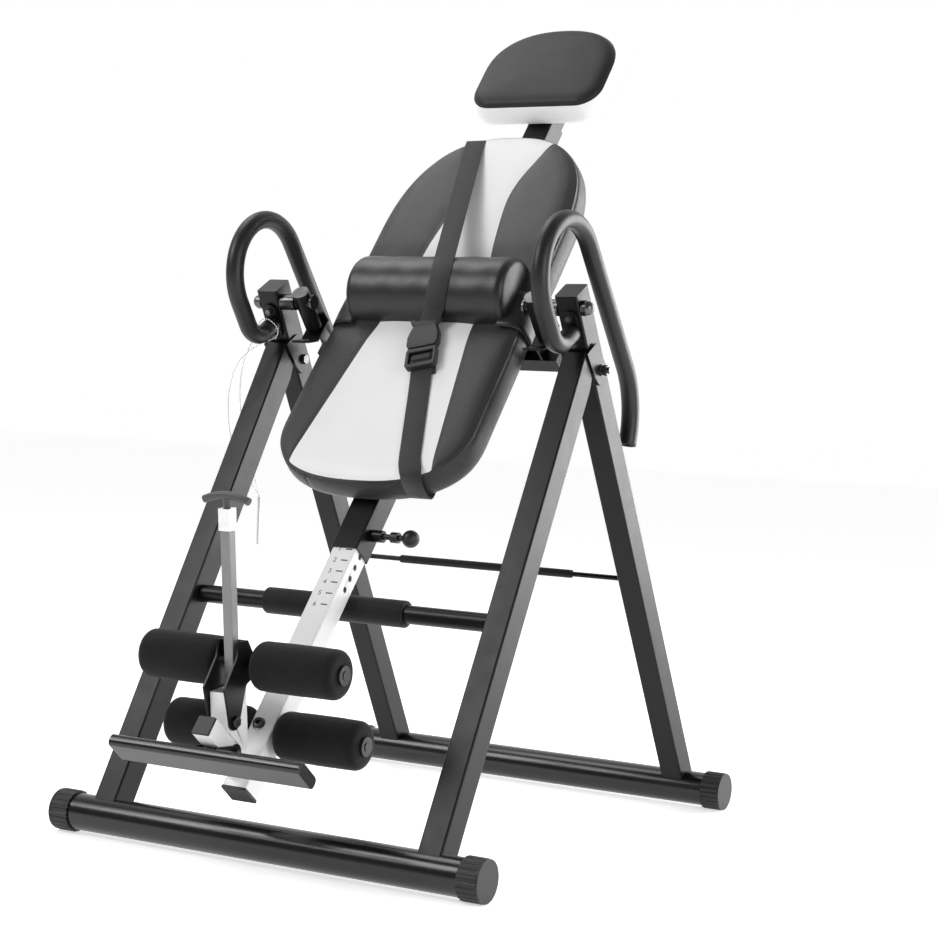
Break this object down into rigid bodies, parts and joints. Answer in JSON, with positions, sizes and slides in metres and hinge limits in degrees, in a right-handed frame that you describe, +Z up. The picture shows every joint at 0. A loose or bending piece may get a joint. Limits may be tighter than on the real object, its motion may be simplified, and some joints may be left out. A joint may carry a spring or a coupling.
{
  "type": "inversion table",
  "caption": "Folding A-frame inversion table with a padded tilting bed, lumbar roll, lap strap, loop handles, headrest and a lever-operated ankle clamp with foam rollers",
  "frame": {"origin": "On the floor, at the centre of the box that holds the whole object at rest", "axes": "+Z up, +X to the object's left-right, the user lies facing -Y with the feet at -Y and the head at +Y"},
  "size_m": [0.72, 1.0163, 1.2918],
  "materials": {
    "frame_black": "satin black powder coat",
    "handle_black": "matte black coat",
    "plastic_black": "matte moulded black",
    "cap_grey": "matte light grey",
    "foam_black": "matte closed-cell foam",
    "tube_white": "satin white powder coat",
    "leather_black": "grained black artificial leather with satin sheen",
    "leather_white": "smooth white artificial leather",
    "webbing_black": "woven nylon webbing",
    "plywood": "plain plywood",
    "bolt_dark": "dark zinc",
    "steel_silver": "polished nickel",
    "lever_grey": "metallic grey satin",
    "collar_silver": "satin silver",
    "bush_grey": "matte bearing plastic"
  },
  "bodies": {
    "root": {"rear_base_tube": "frame_black", "rear_base_caps": "plastic_black", "rear_leg_left": "frame_black", "rear_leg_right": "frame_black", "rear_cross_rod": "frame_black", "rear_rod_sleeve": "foam_black", "pivot_shafts": "bolt_dark", "handle_left": "handle_black", "handle_right": "handle_black", "handle_flanges": "frame_black", "handle_bolts": "bolt_dark", "handle_end_plugs": "plastic_black", "chain": "steel_silver", "chain_pin": "steel_silver"},
    "front_frame": {"front_base_tube": "frame_black", "front_base_caps": "plastic_black", "front_leg_left": "frame_black", "front_leg_right": "frame_black", "front_crossbar": "frame_black", "crossbar_sleeve": "foam_black", "hinge_brackets": "frame_black", "hinge_bolts": "bolt_dark"},
    "bed": {"main_beam": "frame_black", "bed_cross_tubes": "frame_black", "pivot_arms": "frame_black", "arm_caps": "cap_grey", "arm_clamps": "frame_black", "pivot_bushes": "bush_grey", "pad_boards": "plywood", "lower_pad": "leather_black", "upper_pad": "leather_black", "bolster": "leather_black", "lap_strap": "webbing_black", "buckle": "plastic_black", "pin_barrel": "frame_black"},
    "height_pin": {"pull_pin": "plastic_black"},
    "head_slide": {"head_post": "frame_black", "headrest_board": "plywood", "headrest": "leather_white"},
    "foot_slide": {"inner_tube": "tube_white", "inner_tube_cap": "plastic_black", "ankle_cross_tube": "tube_white", "cross_tube_cap": "plastic_black", "clamp_post": "tube_white", "rear_axle": "bolt_dark", "foot_bar": "frame_black", "foot_bar_ears": "frame_black", "foot_bar_bolt": "bolt_dark", "clamp_bolt": "bolt_dark"},
    "ankle_clamp": {"clamp_bracket": "frame_black", "lever_tube": "lever_grey", "lever_collar": "collar_silver", "front_axle": "bolt_dark"},
    "release": {"release_handle": "lever_grey"},
    "roller_rear_left": {"rear_roller_left": "foam_black"},
    "roller_rear_right": {"rear_roller_right": "foam_black"},
    "roller_front_left": {"front_roller_left": "foam_black"},
    "roller_front_right": {"front_roller_right": "foam_black"}
  },
  "joints": [
    {"name": "fold", "type": "hinge", "parent": "root", "child": "front_frame", "pos_m": [0, 0.0671, 0.7094], "axis": [1, 0, 0], "range_deg": [0, 45]},
    {"name": "bed_tilt", "type": "hinge", "parent": "root", "child": "bed", "pos_m": [0, 0.0063, 0.798], "axis": [-1, 0, 0], "range_deg": [0, 91]},
    {"name": "height_pin_pull", "type": "slide", "parent": "bed", "child": "height_pin", "axis": [1, 0, 0], "range_m": [-0.0095, 0]},
    {"name": "headrest_height", "type": "slide", "parent": "bed", "child": "head_slide", "axis": [0, 0.6293, 0.7771], "range_m": [0, 0.06]},
    {"name": "foot_tube_height", "type": "slide", "parent": "bed", "child": "foot_slide", "axis": [0, -0.6293, -0.7771], "range_m": [-0.0784, 0.0784]},
    {"name": "clamp_open", "type": "hinge", "parent": "foot_slide", "child": "ankle_clamp", "pos_m": [0, -0.4536, 0.2138], "axis": [1, 0, 0], "range_deg": [0, 30]},
    {"name": "release_pull", "type": "slide", "parent": "ankle_clamp", "child": "release", "axis": [0, -0.1153, 0.9933], "range_m": [0, 0.012], "stiffness_N_per_m": 700, "springref_m": -0.01},
    {"name": "roller_rear_left_spin", "type": "hinge", "parent": "foot_slide", "child": "roller_rear_left", "pos_m": [-0.093, -0.35059, 0.18408], "axis": [1, 0, 0], "continuous": true},
    {"name": "roller_rear_right_spin", "type": "hinge", "parent": "foot_slide", "child": "roller_rear_right", "pos_m": [0.093, -0.35059, 0.18408], "axis": [1, 0, 0], "continuous": true},
    {"name": "roller_front_left_spin", "type": "hinge", "parent": "ankle_clamp", "child": "roller_front_left", "pos_m": [-0.094, -0.4129, 0.287], "axis": [1, 0, 0], "continuous": true},
    {"name": "roller_front_right_spin", "type": "hinge", "parent": "ankle_clamp", "child": "roller_front_right", "pos_m": [0.094, -0.4129, 0.287], "axis": [1, 0, 0], "continuous": true}
  ]
}
